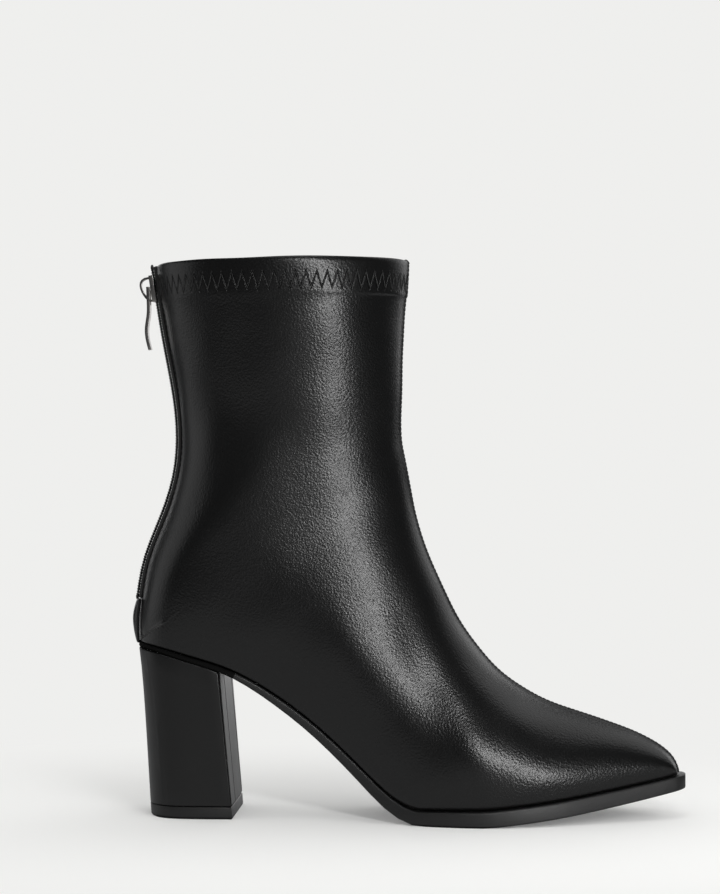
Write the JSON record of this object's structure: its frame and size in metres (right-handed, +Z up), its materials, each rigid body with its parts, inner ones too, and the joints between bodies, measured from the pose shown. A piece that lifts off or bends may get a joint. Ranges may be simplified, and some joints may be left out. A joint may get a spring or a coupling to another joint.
{
  "type": "block heel ankle boot",
  "caption": "Women's ankle boot with a pointed toe, a covered block heel, a front seam and a back zip with a hinged pull tab, made to be worn on the right foot.",
  "frame": {"origin": "on the floor, under the middle of the boot's length and of its width", "axes": "+X to the toe, +Y to the inner side of the right foot, +Z up"},
  "size_m": [0.2509, 0.086, 0.2513],
  "materials": {
    "leather": "black smooth leather look, fine grain, satin gloss",
    "heel_cover": "black smooth cover, duller than the upper",
    "sole": "matt black moulded",
    "top_lift": "matt black moulded",
    "lining": "dark grey knitted lining",
    "zip_tape": "black woven tape",
    "zip_teeth": "black moulded coil teeth",
    "zip_metal": "dark polished nickel"
  },
  "bodies": {
    "boot": {"upper": "leather", "back_tab": "leather", "outsole": "sole", "insole": "lining", "heel": "heel_cover", "top_lift": "top_lift", "zip_tape": "zip_tape", "zip_chain": "zip_teeth", "zip_slider": "zip_metal"},
    "pull": {"zip_pull": "zip_metal"}
  },
  "joints": [
    {"name": "zip_pull_swing", "type": "hinge", "parent": "boot", "child": "pull", "pos_m": [-0.11823, 0, 0.23865], "axis": [0, 1, 0], "range_deg": [-8, 170]}
  ]
}
